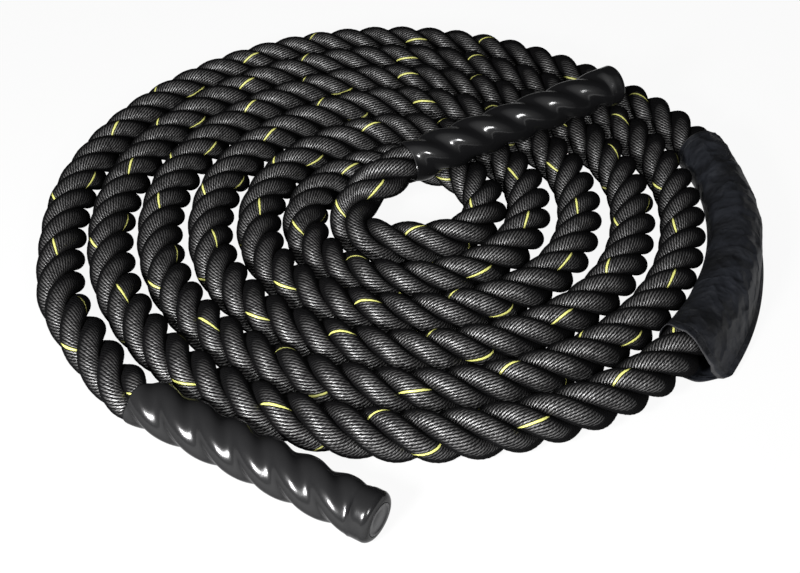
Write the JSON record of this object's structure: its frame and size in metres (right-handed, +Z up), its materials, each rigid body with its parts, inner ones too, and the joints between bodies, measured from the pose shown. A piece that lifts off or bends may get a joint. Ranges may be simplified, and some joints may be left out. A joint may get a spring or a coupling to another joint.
{
  "type": "battle rope",
  "caption": "Thick twisted training rope laid in a flat spiral coil, with shrink-wrapped hand grips on its ends and a fabric anchor sleeve that slides along it.",
  "frame": {"origin": "on the floor, under the middle of the object's bounding box", "axes": "+Z up from the floor, +Y from the outer grip in front to the back of the coil, +X to the right, towards the sleeve"},
  "size_m": [0.8068, 0.8676, 0.1202],
  "materials": {
    "rope": "black twisted polyester yarn",
    "grip_skin": "glossy black heat-shrink plastic",
    "end_cap": "moulded black rubber",
    "whipping_tape": "dark grey binding tape",
    "sleeve_cloth": "blue-black woven nylon"
  },
  "bodies": {
    "rope": {"rope_coil": "rope", "rope_outer_end": "rope", "rope_inner_end": "rope", "outer_grip": "grip_skin", "inner_grip": "grip_skin", "outer_end_cap": "end_cap", "inner_end_cap": "end_cap", "outer_whipping": "whipping_tape", "inner_whipping": "whipping_tape"},
    "sleeve": {"anchor_sleeve": "sleeve_cloth"}
  },
  "joints": [
    {"name": "sleeve_slide", "type": "hinge", "parent": "rope", "child": "sleeve", "pos_m": [0.00309, 0.04023, 0], "axis": [0, 0, 1], "range_deg": [-4.6, 4.6]}
  ]
}
